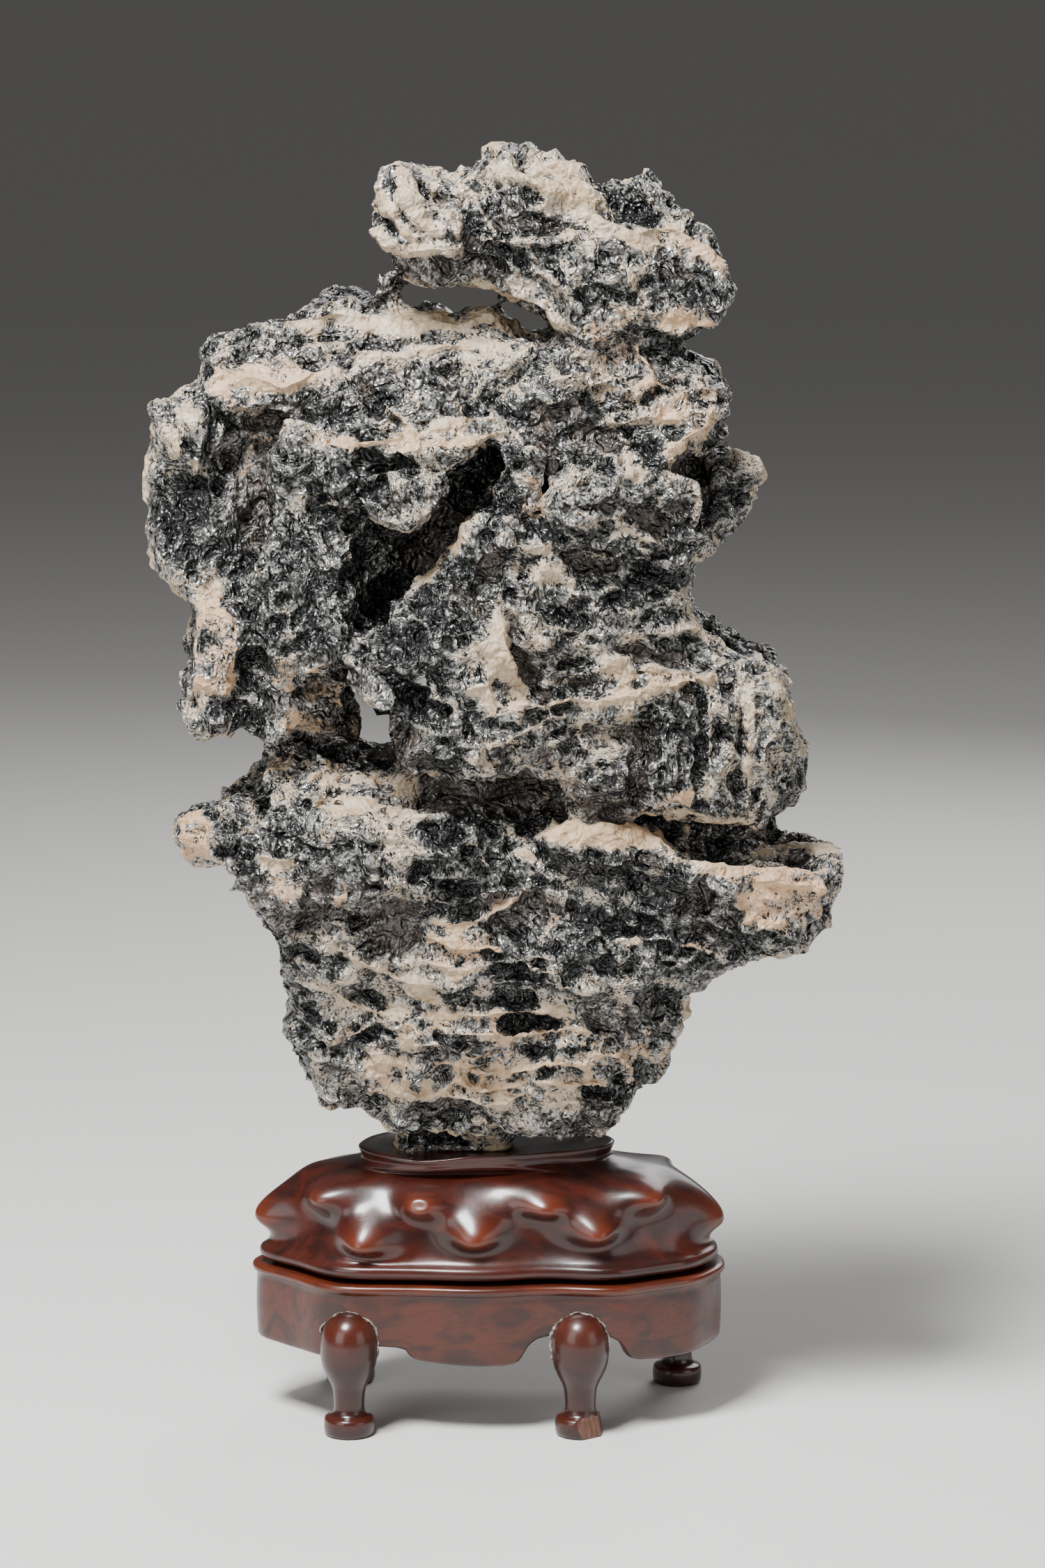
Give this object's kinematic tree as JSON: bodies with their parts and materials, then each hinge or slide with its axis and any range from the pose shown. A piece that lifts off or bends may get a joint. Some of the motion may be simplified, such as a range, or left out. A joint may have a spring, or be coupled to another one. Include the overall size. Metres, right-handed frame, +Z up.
{
  "type": "scholar stone on stand",
  "caption": "Upright craggy scholar stone with overhanging ledges and small through holes, seated in the dish of a knobbed wooden mound on a lobed apron with turned legs.",
  "frame": {"origin": "on the table, under the middle of the whole, stone and stand", "axes": "+Z up, +X to the right as the stone is usually shown, the front faces -Y"},
  "size_m": [0.228, 0.1069, 0.4207],
  "materials": {
    "limestone": "dark blue-grey limestone, semi-glossy on its crests, with matt cream and peach crusts",
    "rosewood_carved": "polished red-brown hardwood, carved",
    "rosewood_apron": "polished red-brown hardwood with visible figure",
    "rosewood_turned": "polished dark maroon hardwood, turned"
  },
  "bodies": {
    "root": {"stone": "limestone", "mound": "rosewood_carved", "apron": "rosewood_apron", "leg_front_left": "rosewood_turned", "leg_front_right": "rosewood_turned", "leg_back_right": "rosewood_turned", "leg_back_left": "rosewood_turned"}
  },
  "joints": []
}
